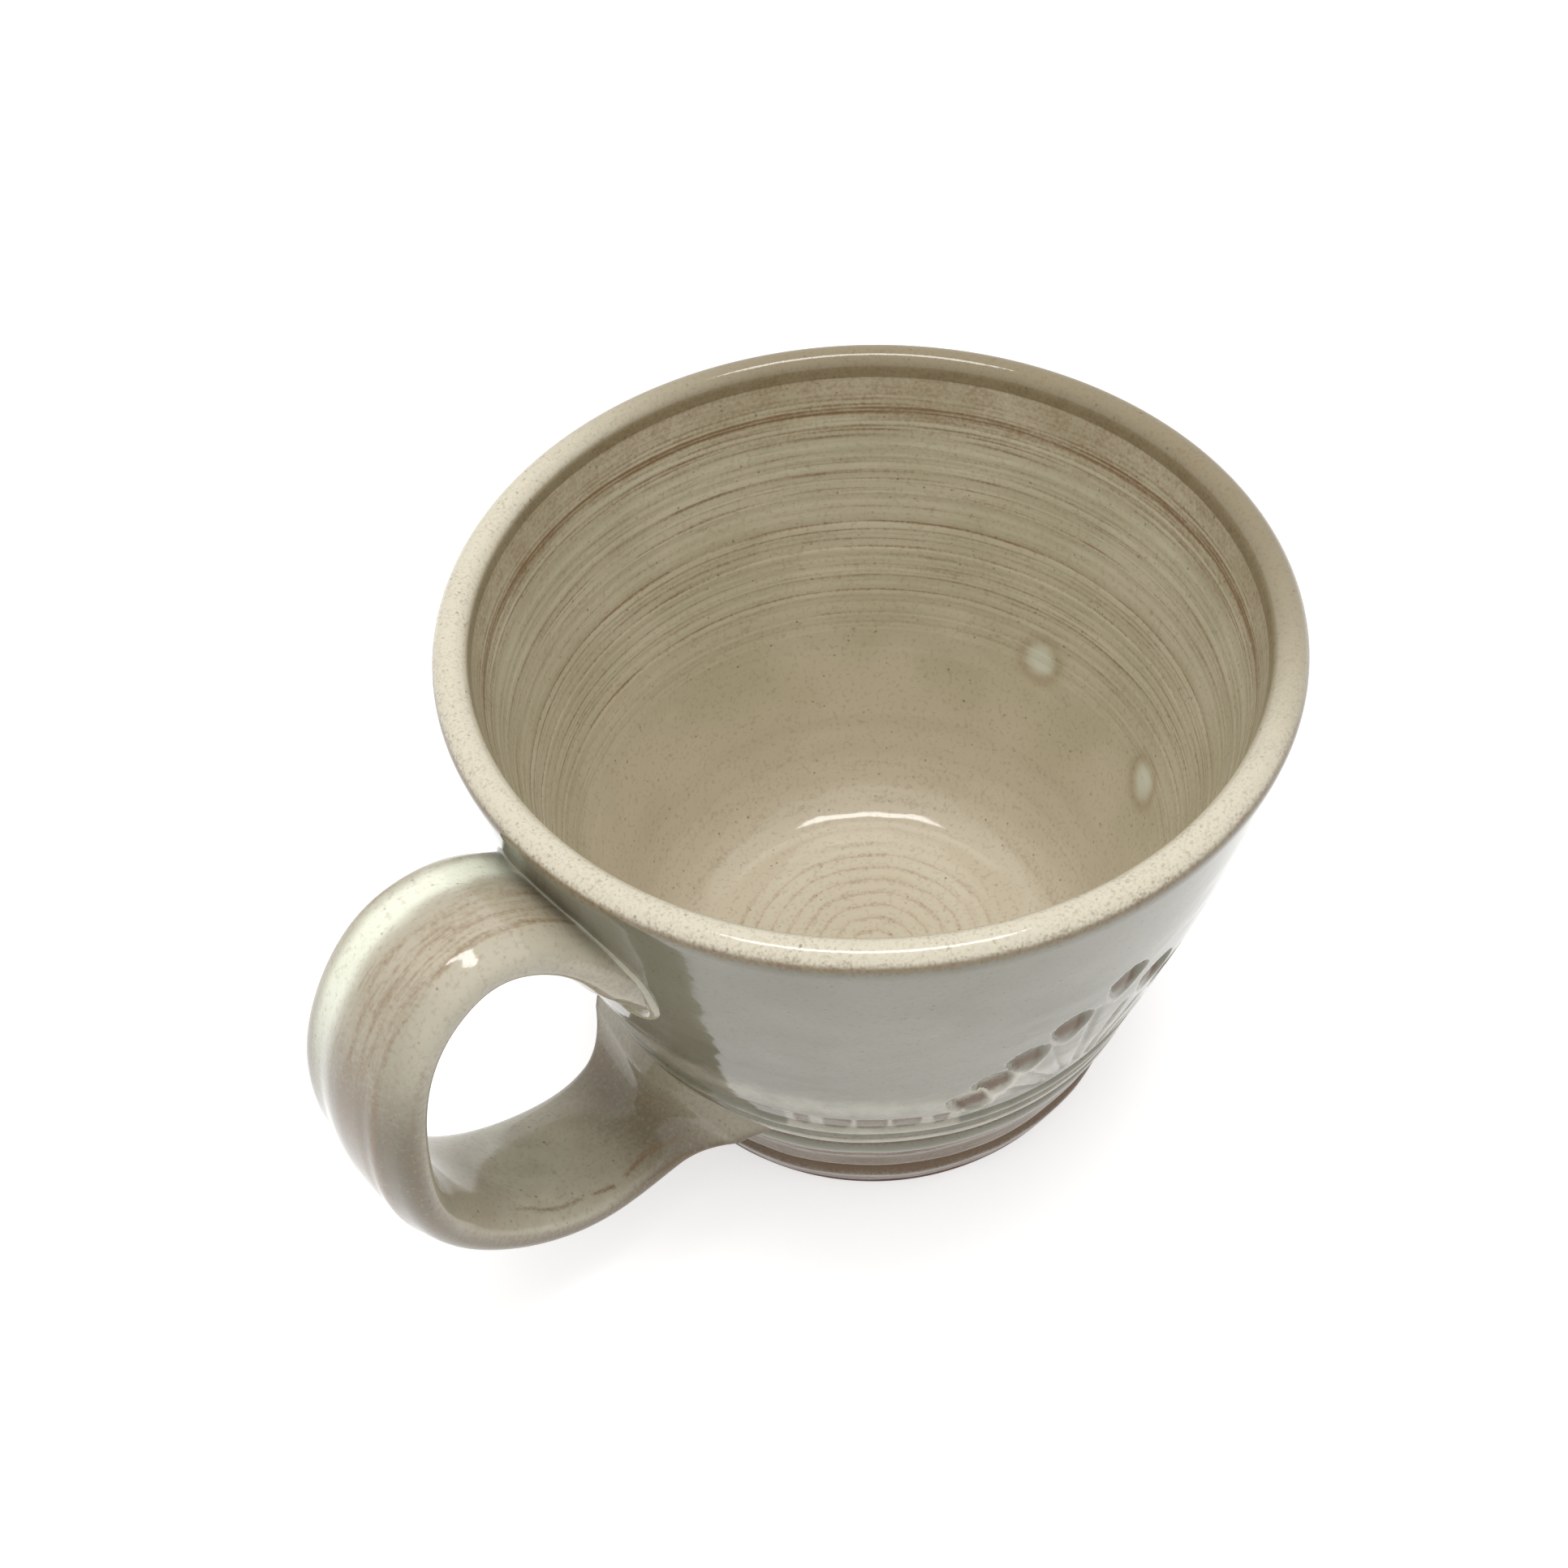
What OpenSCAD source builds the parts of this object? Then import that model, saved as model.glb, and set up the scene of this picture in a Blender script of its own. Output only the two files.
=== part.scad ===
// Stoneware mug: a thrown body on a turned foot, a pulled strap handle, and the glaze on both.
// Millimetres. The origin is the centre of the foot, +Z is up and the handle lies along +X.

/* [Body] */
// Diameter over the glazed lip
rim_d = 110; // [98:1:122]
// Height from the table to the top of the lip
body_h = 82; // [76:1:96]
// Diameter of the foot at the table
foot_d = 71; // [62:1:78]
// Height at which the turned lower zone ends and the belly starts
waist_h = 32.4; // [28:0.2:36]
// Diameter of the belly's lower edge
waist_d = 89; // [84:0.5:94]
// How far the belly stands out past a straight cone
belly_swell = 0.7; // [0:0.1:2]
// Thickness of the rounded lip, with its glaze
lip_t = 4.6; // [3.8:0.1:5.4]
// Clay between the inside and the outside of the wall
wall_t = 4.2; // [3.4:0.1:5.4]
// Clay floor above the recess under the mug
floor_t = 5.4; // [4.4:0.1:8]
// Diameter of the flat part of the floor inside
floor_d = 48; // [40:1:54]
// Height of the bend from the floor into the wall
bend_h = 15; // [10:0.5:20]
// Width of the ring that the mug stands on
foot_ring_w = 6.5; // [4.5:0.5:9]
// Depth of the recess inside that ring
foot_recess = 2.4; // [1:0.2:4]

/* [Turning and throwing] */
// Depth of the turning lines between foot and waist
turn_depth = 0.8; // [0:0.1:1.2]
// How far the belly's lower edge overhangs the turned zone
waist_step = 0.4; // [0.3:0.1:1.4]
// Depth of the throwing rings inside
ring_depth = 0.2; // [0:0.05:0.4]
// Distance from one throwing ring to the next
ring_pitch = 3.4; // [2.6:0.1:5]

/* [Pressed ornament] */
// Angle from the handle to the middle of a fan
fan_angle = 85; // [70:1:100]
// Height of the point that the petals of a fan start from
fan_base_h = 25; // [20:0.5:30]
// Reach of the middle petal above that point
fan_reach = 36.5; // [30:0.5:42]
// Reach of the last petal on each side
fan_side_reach = 24; // [20:0.5:28]
// Angle from one petal to the next, seen from that point
petal_step = 14; // [11:0.2:15]
// How far a petal turns with its place in the fan, as a share
petal_lean = 0.35; // [0:0.05:1]
// Petals on each side of the middle one
side_petals = 4; // [2:1:4]
// Radius of the tool that pressed the petals
petal_r = 3.2; // [2.4:0.1:4]
// Depth of a petal at its round end
petal_depth = 1.7; // [1:0.1:2.2]
// Length of a petal
petal_len = 9; // [7:0.5:11]
// Radius of the point that drew the veins
vein_r = 0.9; // [0.6:0.1:1.2]
// Depth of a vein
vein_depth = 0.8; // [0.6:0.05:1]
// Distance from the base of the fan to the first clay that a vein cuts
vein_start = 10; // [8:0.5:12]
// Angle from the middle of a fan to the first notch beside it
notch_start = 26; // [24:0.5:32]
// Notches in the row beside a fan
notch_count = 5; // [1:1:5]
// Distance from one notch to the next, as an angle
notch_step = 6.1; // [5.5:0.1:6.6]
// Width of a notch at its top
notch_w = 3.6; // [2:0.1:4]
// Height of a notch
notch_h = 6; // [4:0.5:7]
// How much narrower each side of a notch is at its foot
notch_taper = 0.5; // [0:0.1:0.9]
// Depth of a notch below the turned zone
notch_depth = 1; // [0.4:0.1:1.6]

/* [Handle] */
// Drop from the top of the lip to the middle of the upper root
upper_drop = 18.5; // [14:0.5:26]
// Height of the middle of the lower root on the wall
lower_root_h = 17.5; // [14:0.5:28]
// How far the strap's middle line stands out past the lip
handle_reach = 27.7; // [22:0.1:36]
// Height at which it stands out furthest
handle_mid_h = 48.5; // [40:0.5:56]
// Angle at which the strap leaves the wall upwards
upper_angle = 58; // [40:1:65]
// Angle at which it leaves the lower root downwards
lower_angle = 44; // [20:1:55]
// Pull of the bend next to the upper root
upper_pull = 27.6; // [16:0.2:34]
// Pull of the bend at the shoulder
shoulder_pull = 23.5; // [14:0.5:30]
// Pull of the bend at the elbow
elbow_pull = 25.6; // [14:0.2:30]
// Pull of the bend next to the lower root
lower_pull = 19.7; // [12:0.1:26]
// Width of the strap at its narrow neck, behind the upper root
neck_w = 18; // [14:0.2:24]
// Width of the strap at its heel, before the lower root
heel_w = 19.8; // [14:0.2:24]
// Width of the strap at its middle
strap_mid_w = 22; // [16:0.2:28]
// Width of the strap at the upper root
upper_root_w = 24; // [20:0.2:32]
// Width of the strap at the lower root
lower_root_w = 32; // [20:0.2:34]
// Thickness of the strap
strap_t = 6; // [4.6:0.1:8]
// Depth of the two channels along the strap's outer face
channel_depth = 0.5; // [0:0.1:1]
// Thickness of the clay worked around the upper root
upper_weld_t = 0.9; // [0.6:0.1:2.4]
// Thickness of the clay thumbed out around the lower root
lower_weld_t = 2.2; // [0.8:0.1:3]

/* [Glaze] */
// Thickness of the glaze coats
glaze_t = 0.4; // [0.3:0.05:0.6]
// Height of the bare clay above the table
bare_h = 1.4; // [0.6:0.1:4]
// Gap between two coats where they meet
coat_gap = 0.05; // [0.02:0.01:0.2]

/* [Hidden] */
rim_r = rim_d / 2;
foot_r = foot_d / 2;
waist_r = waist_d / 2;
floor_r = floor_d / 2;
lip_r = lip_t / 2;
lip_h = body_h - lip_r;
floor_h = foot_recess + floor_t;
bend_top = floor_h + bend_h;
upper_root_h = body_h - upper_drop;
foot_in_r = foot_r - foot_ring_w;
turn_n = 36;
belly_n = 9;
line_n = 28;
ring_n = 46;
weld_n = 8;
weld_end = 0.07;
coat_end = 89;
run_on = 4.3 * handle_reach;

// A soft bump of height 1 at a place
function bump(x, at, half) = exp(-pow((x - at) / half, 2));

// Turning lines between the foot and the waist, as shares of that height
function turning(u) =
  turn_depth
  * (0.45 * bump(u, 0.19, 0.035)
    - 0.9 * bump(u, 0.25, 0.026)
    - 0.45 * bump(u, 0.4, 0.09)
    + 0.6 * bump(u, 0.56, 0.06)
    - 0.6 * bump(u, 0.635, 0.016)
    + 0.4 * bump(u, 0.7, 0.05)
    - 0.5 * bump(u, 0.765, 0.016)
    + 0.4 * bump(u, 0.805, 0.022)
    - 0.5 * bump(u, 0.85, 0.016));

// Radius of the wall's outside without turning lines
function plain_r(z) =
  z < waist_h
  ? foot_r + (waist_r - waist_step - foot_r) * z / waist_h
  : waist_r + (rim_r - waist_r) * (z - waist_h) / (lip_h - waist_h)
    + belly_swell * sin(180 * (z - waist_h) / (lip_h - waist_h));

// Radius of the glazed outside
function outer_r(z) = plain_r(z) + (z < waist_h ? turning(z / waist_h) : 0);

// Radius of the clay's outside, which the handle lands on
function clay_r(z) = outer_r(z) - glaze_t;

// Throwing rings fade out below the lip and above the bend
function rings(z) =
  ring_depth * sin(360 * z / ring_pitch)
  * pow(max(0, sin(180 * (z - bend_top) / (lip_h - 6 - bend_top))), 0.5)
  * (z < lip_h - 6 ? 1 : 0);

// Radius of the clay's inside above the bend, closing in on the lip at the top
function inner_r(z) =
  let (u = (z - bend_top) / (lip_h - bend_top),
    low = plain_r(bend_top) - glaze_t - wall_t,
    top = rim_r - lip_t + glaze_t)
  low + (top - low) * u + (belly_swell + 0.9) * sin(180 * u) + rings(z);

// A point of the bend from the floor into the wall
function bend_point(t) =
  let (end_r = inner_r(bend_top), corner = [end_r - 0.26 * bend_h, floor_h])
  (1 - t) * (1 - t) * [floor_r, floor_h]
  + 2 * (1 - t) * t * corner
  + t * t * [end_r, bend_top];

// Half outlines, from bottom to top
function outer_line(z0, g) = concat(
  [for (i = [0 : turn_n]) let (z = z0 + (waist_h - 0.01 - z0) * i / turn_n) [outer_r(z) - g, z]],
  [for (i = [0 : belly_n]) let (z = waist_h + (lip_h - waist_h) * i / belly_n) [outer_r(z) - g, z]]
);
function lip_line(from, to, g) =
  [for (i = [1 : 6]) let (a = from + (to - from) * i / 6)
    [rim_r - lip_r + (lip_r - g) * cos(a), lip_h + (lip_r - g) * sin(a)]];
function inner_line(g) =
  let (n = ceil((lip_h - bend_top) / ring_pitch * 4))
  concat(
    [[0, floor_h + g]],
    [for (i = [0 : 9]) let (p = bend_point(i / 9)) [p[0] - g * i / 9, p[1] + g * (1 - i / 9)]],
    [for (i = [1 : n]) let (z = bend_top + (lip_h - bend_top) * i / n) [inner_r(z) - g, z]]
  );
function reversed(list) = [for (i = [len(list) - 1 : -1 : 0]) list[i]];

// Places its children on the wall, with x outward and z up along the wall
module on_wall(a, z) {
  lean = atan((outer_r(z + 1) - outer_r(z - 1)) / 2);
  rotate([0, 0, a])
    translate([outer_r(z), 0, z])
      rotate([0, lean, 0])
        children();
}

// One petal: a round-ended tool pressed in at a slant, which runs out towards the base of the fan
module petal() {
  slant = atan(petal_depth / petal_len);
  translate([petal_r - petal_depth, 0, 0])
    rotate([0, slant, 0])
      rotate_extrude($fn = 32)
        polygon([
          [0, petal_r * 0.9],
          [petal_r * 0.55, petal_r * 0.72],
          [petal_r * 0.88, petal_r * 0.32],
          [petal_r, -petal_r * 0.2],
          [petal_r * 0.8, -petal_len - 2],
          [0, -petal_len - 2]
        ]);
}

// One vein: a line drawn from between two petals to the base of the fan
module vein(length) {
  translate([vein_r - vein_depth, 0, -length / 2])
    cylinder(h = length, r = vein_r, $fn = 24);
}

// Reach of a petal, longest in the middle of the fan
function petal_reach(k) =
  let (fall = exp(-1.6), share = (exp(-1.6 * abs(k) / side_petals) - fall) / (1 - fall))
  fan_side_reach + (fan_reach - fan_side_reach) * share;

// A fan of petals and veins around one base point
module fan_press() {
  for (k = [-side_petals : side_petals]) {
    turn = petal_step * k;
    mid = petal_reach(k) - petal_r;
    z = fan_base_h + mid * cos(turn);
    a = asin(mid * sin(turn) / outer_r(z));
    on_wall(fan_angle - a, z)
      rotate([turn * petal_lean, 0, 0])
        petal();
  }
  for (k = [-side_petals + 0.5 : side_petals]) {
    turn = petal_step * k;
    length = petal_reach(k) - petal_len - vein_start;
    mid = vein_start + length / 2;
    z = fan_base_h + mid * cos(turn);
    a = asin(mid * sin(turn) / outer_r(z));
    on_wall(fan_angle - a, z)
      rotate([turn, 0, 0])
        vein(length);
  }
  on_wall(fan_angle, fan_base_h - 1)
    translate([petal_r - petal_depth / 2, 0, 0])
      sphere(r = petal_r, $fn = 32);
}

// One notch with a sharp top edge under the belly, narrower at its foot
module notch() {
  lean = atan((plain_r(waist_h - 1) - plain_r(0)) / (waist_h - 1));
  translate([clay_r(waist_h) - waist_step, 0, waist_h])
    rotate([0, lean, 0])
      translate([-notch_depth, 0, 0])
        rotate([90, 0, 90])
          linear_extrude(height = notch_depth + 3)
            polygon([
              [-notch_w / 2, 0.6],
              [notch_w / 2, 0.6],
              [notch_w / 2 - notch_taper, -notch_h],
              [-notch_w / 2 + notch_taper, -notch_h]
            ]);
}

// All that was pressed into one half of the wall while the clay was soft
module half_ornament() {
  fan_press();
  for (k = [0 : notch_count - 1])
    for (side = [-1, 1])
      rotate([0, 0, fan_angle + side * (notch_start + notch_step * k)])
        notch();
}
module ornament() {
  half_ornament();
  mirror([0, 1, 0])
    half_ornament();
}

// Middle line of the strap: two curves from wall to wall, run on straight into the wall
upper_root = [clay_r(upper_root_h), upper_root_h];
lower_root = [clay_r(lower_root_h), lower_root_h];
outmost = [rim_r + handle_reach, handle_mid_h];
upper_curve = [
  upper_root,
  upper_root + upper_pull * [cos(upper_angle), sin(upper_angle)],
  outmost + [0, shoulder_pull],
  outmost
];
lower_curve = [
  outmost,
  outmost - [0, elbow_pull],
  lower_root + lower_pull * [cos(lower_angle), -sin(lower_angle)],
  lower_root
];
function curve_at(c, t) =
  pow(1 - t, 3) * c[0] + 3 * pow(1 - t, 2) * t * c[1] + 3 * (1 - t) * t * t * c[2] + pow(t, 3) * c[3];
function curve_dir(c, t) =
  let (d = pow(1 - t, 2) * (c[1] - c[0]) + 2 * (1 - t) * t * (c[2] - c[1]) + t * t * (c[3] - c[2]))
  d / norm(d);
function strap_dir(s) =
  s < 0.5 ? curve_dir(upper_curve, 2 * max(0, s)) : curve_dir(lower_curve, 2 * min(1, s) - 1);
function strap_mid(s) =
  s < 0 ? upper_root + run_on * s * strap_dir(0)
  : s > 1 ? lower_root + run_on * (s - 1) * strap_dir(1)
  : s < 0.5 ? curve_at(upper_curve, 2 * s)
  : curve_at(lower_curve, 2 * s - 1);

// Half width of the strap: wide at both roots, a little wider again at the middle
function strap_half(s) =
  let (up = max(0, 1 - max(0, s) / 0.2), low = max(0, 1 - (1 - min(1, s)) / 0.17))
  let (share = 0.5 - 0.5 * cos(180 * min(1, max(0, s))), plain_w = neck_w + (heel_w - neck_w) * share)
  plain_w / 2
  + (strap_mid_w - plain_w) / 2 * bump(s, 0.47, 0.13)
  + (upper_root_w - neck_w) / 2 * up * up
  + (lower_root_w - heel_w) / 2 * low * low;

// Extra clay around the roots
function weld(s) =
  upper_weld_t * pow(max(0, 1 - max(0, s) / weld_end), 2)
  + lower_weld_t * pow(max(0, 1 - (1 - min(1, s)) / weld_end), 2);

// A point of the strap: along it by s, around it by angle a, grown by e, shrunk to the middle by f
function rounded(x, p) = sign(x) * pow(abs(x), p);
function strap_point(s, a, e, f = 1) =
  let (m = strap_mid(s),
    d = strap_dir(s),
    y = rounded(cos(a), 0.8),
    n = rounded(sin(a), 0.8),
    hollow = n > 0 ? channel_depth * bump(abs(y), 0.68, 0.15) : 0,
    h = f * (n * (strap_t / 2 + e) - hollow))
  [m[0] - d[1] * h, f * y * (strap_half(s) + e), m[1] + d[0] * h];

// Where a line along the strap meets the clay wall, found by halving
function grown(s, w, g) = w * weld(s) + g;
function outside(s, a, w, g, f) =
  let (p = strap_point(s, a, grown(s, w, g), f))
  norm([p[0], p[1]]) > clay_r(p[2]);
function landing(a, w, g, f, in, out, n = 16) =
  n == 0 ? out
  : let (mid = (in + out) / 2)
    outside(mid, a, w, g, f) ? landing(a, w, g, f, in, mid, n - 1) : landing(a, w, g, f, mid, out, n - 1);
function upper_landing(a, w, g, f = 1) = landing(a, w, g, f, -0.12, 0.2);
function lower_landing(a, w, g, f = 1) = landing(a, w, g, f, 1.16, 0.8);

// Rings of points between two places along the strap
function angle_at(j) = 360 * j / line_n;
function strap_rings(w, g, n, from, to) =
  [for (i = [0 : n])
    for (j = [0 : line_n - 1])
      let (a = angle_at(j),
        s0 = is_undef(from) ? upper_landing(a, w, g) : from,
        s1 = is_undef(to) ? lower_landing(a, w, g) : to,
        s = s0 + (s1 - s0) * i / n)
      strap_point(s, a, grown(s, w, g))];

// Side faces between the rings of a list that starts at a point number
function side_faces(first, n, flip) =
  [for (i = [0 : n - 1])
    for (j = [0 : line_n - 1])
      for (half = [0, 1])
        let (k = (j + 1) % line_n,
          p = first + i * line_n,
          q = p + line_n,
          face = half == 0 ? [p + j, q + j, p + k] : [p + k, q + j, q + k])
        flip ? [face[2], face[1], face[0]] : face];

// Faces between two single rings
function strip_faces(p, q, flip) =
  [for (j = [0 : line_n - 1])
    for (half = [0, 1])
      let (k = (j + 1) % line_n,
        face = half == 0 ? [p + j, q + j, p + k] : [p + k, q + j, q + k])
      flip ? [face[2], face[1], face[0]] : face];

// The two ends of the strap, which follow the wall: two inner rings and a middle point
function end_points(lower) = concat(
  [for (f = [0.66, 0.33])
    for (j = [0 : line_n - 1])
      let (a = angle_at(j), s = lower ? lower_landing(a, 0, 0, f) : upper_landing(a, 0, 0, f))
      strap_point(s, a, 0, f)],
  [let (s = lower ? lower_landing(0, 0, 0, 0) : upper_landing(0, 0, 0, 0)) strap_point(s, 0, 0, 0)]
);
function end_faces(edge, first, flip) = concat(
  strip_faces(edge, first, flip),
  strip_faces(first, first + line_n, flip),
  [for (j = [0 : line_n - 1])
    let (face = [first + line_n + j, first + 2 * line_n, first + line_n + (j + 1) % line_n])
    flip ? [face[2], face[1], face[0]] : face]
);

// A sleeve between an inner and an outer set of rings
module sleeve(inner, outer, n) {
  count = (n + 1) * line_n;
  polyhedron(
    points = concat(outer, inner),
    faces = concat(
      side_faces(0, n, false),
      side_faces(count, n, true),
      strip_faces(0, count, true),
      strip_faces(n * line_n, count + n * line_n, false)
    ),
    convexity = 6
  );
}

// Outline of a root on the wall, through which the outer coat is left open
module root_opening(lower) {
  outline = [for (j = [0 : line_n - 1])
    let (a = angle_at(j),
      g = glaze_t + coat_gap,
      s = lower ? lower_landing(a, 1, g) : upper_landing(a, 1, g),
      p = strap_point(s, a, grown(s, 1, g)))
    [p[1], p[2]]];
  rotate([90, 0, 90])
    linear_extrude(height = rim_r + handle_reach)
      polygon(outline);
}

// Clay body: wall, floor, foot ring and pressed ornament
module thrown_body() {
  color([0.55, 0.47, 0.39])
    difference() {
      rotate_extrude($fn = 160)
        polygon(concat(
          [[0, foot_recess], [foot_in_r, foot_recess], [foot_in_r + 1, 0]],
          outer_line(0, glaze_t),
          lip_line(0, 180, glaze_t),
          reversed(inner_line(0))
        ));
      ornament();
    }
}

// Clay strap, landing on the wall at both ends
module pulled_handle() {
  side = strap_rings(0, 0, ring_n);
  count = len(side);
  upper_end = end_points(false);
  lower_end = end_points(true);
  color([0.58, 0.5, 0.42])
    polyhedron(
      points = concat(side, upper_end, lower_end),
      faces = concat(
        side_faces(0, ring_n, false),
        end_faces(0, count, true),
        end_faces(ring_n * line_n, count + len(upper_end), false)
      ),
      convexity = 6
    );
}

// Clay worked into the seam at the upper root
module upper_joint() {
  color([0.62, 0.56, 0.46])
    sleeve(
      strap_rings(0, 0, weld_n, to = weld_end),
      strap_rings(1, coat_gap, weld_n, to = weld_end),
      weld_n
    );
}

// Clay thumbed out onto the wall at the lower root
module lower_joint() {
  color([0.62, 0.56, 0.46])
    sleeve(
      strap_rings(0, 0, weld_n, from = 1 - weld_end),
      strap_rings(1, coat_gap, weld_n, from = 1 - weld_end),
      weld_n
    );
}

// Glaze on the inside, from the floor to the crown of the lip
module inner_glaze() {
  color([0.6, 0.57, 0.46])
    rotate_extrude($fn = 160)
      polygon(concat(
        inner_line(0),
        lip_line(180, 90, glaze_t),
        reversed(lip_line(180, 90, 0)),
        reversed(inner_line(glaze_t))
      ));
}

// Glaze on the outside, from the bare foot to the crown of the lip, broken by the pressed ornament
module outer_glaze() {
  color([0.62, 0.62, 0.56])
    difference() {
      rotate_extrude($fn = 160)
        polygon(concat(
          outer_line(bare_h, 0),
          lip_line(0, coat_end, 0),
          reversed(lip_line(0, coat_end, glaze_t)),
          reversed(outer_line(bare_h, glaze_t))
        ));
      ornament();
      root_opening(false);
      root_opening(true);
    }
}

// Glaze on the strap and over both joints
module handle_glaze() {
  color([0.68, 0.65, 0.56])
    sleeve(
      strap_rings(1, coat_gap, ring_n),
      strap_rings(1, coat_gap + glaze_t, ring_n),
      ring_n
    );
}

thrown_body();
pulled_handle();
upper_joint();
lower_joint();
inner_glaze();
outer_glaze();
handle_glaze();
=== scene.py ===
import math

import bpy
import numpy as np
from mathutils import Matrix, Vector


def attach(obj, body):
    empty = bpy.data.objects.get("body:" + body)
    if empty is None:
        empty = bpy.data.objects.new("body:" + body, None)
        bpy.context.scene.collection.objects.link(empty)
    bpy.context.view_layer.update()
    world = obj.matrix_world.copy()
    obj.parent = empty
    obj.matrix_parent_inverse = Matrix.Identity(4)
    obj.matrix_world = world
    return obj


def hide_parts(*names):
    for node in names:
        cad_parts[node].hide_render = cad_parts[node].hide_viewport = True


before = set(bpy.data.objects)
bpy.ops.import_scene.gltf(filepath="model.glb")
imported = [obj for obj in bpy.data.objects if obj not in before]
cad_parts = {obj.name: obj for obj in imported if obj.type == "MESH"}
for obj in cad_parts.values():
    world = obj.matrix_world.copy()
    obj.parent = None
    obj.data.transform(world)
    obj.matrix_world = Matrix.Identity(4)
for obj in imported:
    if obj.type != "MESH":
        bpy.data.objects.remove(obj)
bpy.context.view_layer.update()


# Thrown clay body: wall, floor and foot ring of one lump of red-brown stoneware.
# Thrown on a wheel, its foot turned and its ornament pressed in before firing. Only the
# foot is left bare, so above it this piece is a core that the glaze coats cover.
MM = 0.001
RIM_R, BODY_H, FOOT_R = 55.0, 82.0, 35.5
WAIST_H, WAIST_R, WAIST_STEP = 32.4, 44.5, 0.4
BELLY_SWELL = 0.7
LIP_R = 2.3
LIP_H = BODY_H - LIP_R
FLOOR_R = 24.0
# Ridges and grooves turned below the waist: place and half width as shares of its height,
# and how far they stand out in mm
TURNED_LINES = (
    (0.19, 0.035, 0.36),
    (0.25, 0.026, -0.72),
    (0.4, 0.09, -0.36),
    (0.56, 0.06, 0.48),
    (0.635, 0.016, -0.48),
    (0.7, 0.05, 0.32),
    (0.765, 0.016, -0.4),
    (0.805, 0.022, 0.32),
    (0.85, 0.016, -0.4),
)


def bump(x, at, half):
    """A soft bump of height 1 at a place."""
    return np.exp(-(((x - at) / half) ** 2))


def step(x, low, high):
    """Smoothly 0 at low and 1 at high."""
    share = np.clip((x - low) / (high - low), 0.0, 1.0)
    return share * share * (3.0 - 2.0 * share)


def outer_r(z):
    """Radius in mm of the glazed outside at heights z."""
    z = np.asarray(z, float)
    lines = sum(out * bump(z / WAIST_H, at, half) for at, half, out in TURNED_LINES)
    low = FOOT_R + (WAIST_R - WAIST_STEP - FOOT_R) * z / WAIST_H + lines
    up = (z - WAIST_H) / (LIP_H - WAIST_H)
    high = WAIST_R + (RIM_R - WAIST_R) * up + BELLY_SWELL * np.sin(np.pi * np.clip(up, 0, 1))
    return np.where(z < WAIST_H, low, high)


def add(tree, kind, inputs=None, **settings):
    """Adds one node; each input is a value, a socket or a Field."""
    made = tree.nodes.new(kind)
    for name, value in settings.items():
        setattr(made, name, value)
    for name, value in (inputs or {}).items():
        source = getattr(value, "socket", value)
        if isinstance(source, bpy.types.NodeSocket):
            tree.links.new(source, made.inputs[name])
        else:
            made.inputs[name].default_value = value
    return made


class Field:
    """A value in a node tree, so that a formula reads as a formula."""

    def __init__(self, tree, socket):
        self.tree = tree
        self.socket = socket

    def math(self, operation, *others):
        inputs = dict(enumerate((self, *others)))
        made = add(self.tree, "ShaderNodeMath", inputs, operation=operation)
        return Field(self.tree, made.outputs[0])

    def __add__(self, other):
        return self.math("ADD", other)

    def __sub__(self, other):
        return self.math("SUBTRACT", other)

    def __mul__(self, other):
        return self.math("MULTIPLY", other)

    def __truediv__(self, other):
        return self.math("DIVIDE", other)

    def __pow__(self, other):
        return self.math("POWER", other)

    def __abs__(self):
        return self.math("ABSOLUTE")

    def __neg__(self):
        return self * -1.0

    def __rsub__(self, other):
        return -self + other

    def step(self, low, high):
        """Smoothly 0 at low and 1 at high."""
        inputs = {"Value": self, "From Min": low, "From Max": high}
        made = add(self.tree, "ShaderNodeMapRange", inputs, interpolation_type="SMOOTHSTEP")
        return Field(self.tree, made.outputs[0])

    def bump(self, at, half):
        """A soft bump of height 1 at a place."""
        return (-(((self - at) * (1.0 / half)) ** 2.0)).math("EXPONENT")


def new_tree(name, sketch, sizes, result):
    """A tree that makes a result from a sketch, with its sizes and material as named inputs."""
    tree = bpy.data.node_groups.new(name, "GeometryNodeTree")
    tree.interface.new_socket(sketch, in_out="INPUT", socket_type="NodeSocketGeometry")
    for key, size in sizes.items():
        kind = "NodeSocketInt" if isinstance(size, int) else "NodeSocketFloat"
        tree.interface.new_socket(key, in_out="INPUT", socket_type=kind).default_value = size
    tree.interface.new_socket("Material", in_out="INPUT", socket_type="NodeSocketMaterial")
    tree.interface.new_socket(result, in_out="OUTPUT", socket_type="NodeSocketGeometry")
    given = add(tree, "NodeGroupInput")
    return tree, given, {key: Field(tree, given.outputs[key]) for key in sizes}


def hand_over(tree, shape, given, result):
    """Ends a tree: smooth faces, real mesh, material, output."""
    shape = add(tree, "GeometryNodeSetShadeSmooth", {"Geometry": shape}).outputs[0]
    shape = add(tree, "GeometryNodeRealizeInstances", {"Geometry": shape}).outputs[0]
    inputs = {"Geometry": shape, "Material": given.outputs["Material"]}
    shape = add(tree, "GeometryNodeSetMaterial", inputs).outputs[0]
    add(tree, "NodeGroupOutput", {result: shape})


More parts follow.
